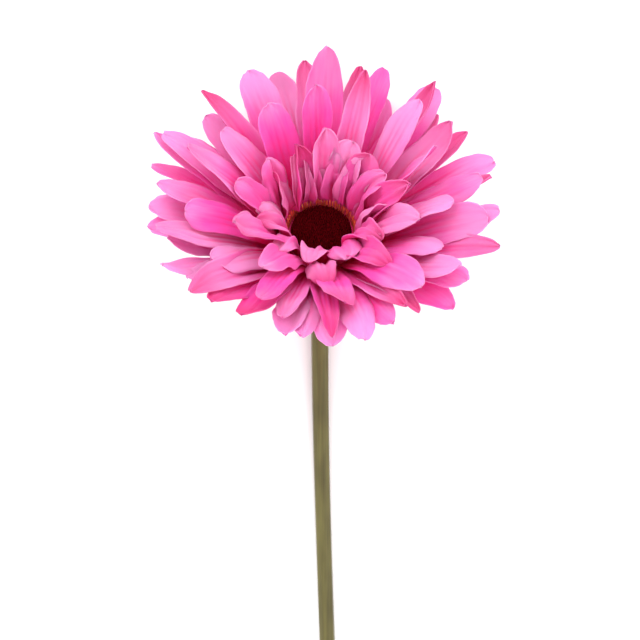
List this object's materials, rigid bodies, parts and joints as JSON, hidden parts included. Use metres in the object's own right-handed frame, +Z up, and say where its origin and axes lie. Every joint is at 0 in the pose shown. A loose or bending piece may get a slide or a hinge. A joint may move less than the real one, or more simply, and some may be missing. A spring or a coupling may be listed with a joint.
{
  "type": "cut gerbera",
  "caption": "Cut gerbera lying on a surface: a pink bloom with layered petals, a ruffled collar and a dark disc on a bent neck and a long bare stem.",
  "frame": {"origin": "middle of the flower's footprint, on the surface that it lies on", "axes": "+Z up, +Y along the stem from the bloom to the cut end, +X across"},
  "size_m": [0.1038, 0.4061, 0.0731],
  "materials": {
    "petals": "soft satin pink, lilac towards the tips, deep pink at the base, with fine veins",
    "disc": "velvety, almost black maroon",
    "disc_fringe": "matte orange brown with yellow tips",
    "calyx": "matte leaf green",
    "stem": "matte olive, faintly ribbed"
  },
  "bodies": {
    "root": {"petals": "petals", "disc": "disc", "disc_fringe": "disc_fringe", "calyx": "calyx", "stem": "stem"}
  },
  "joints": []
}
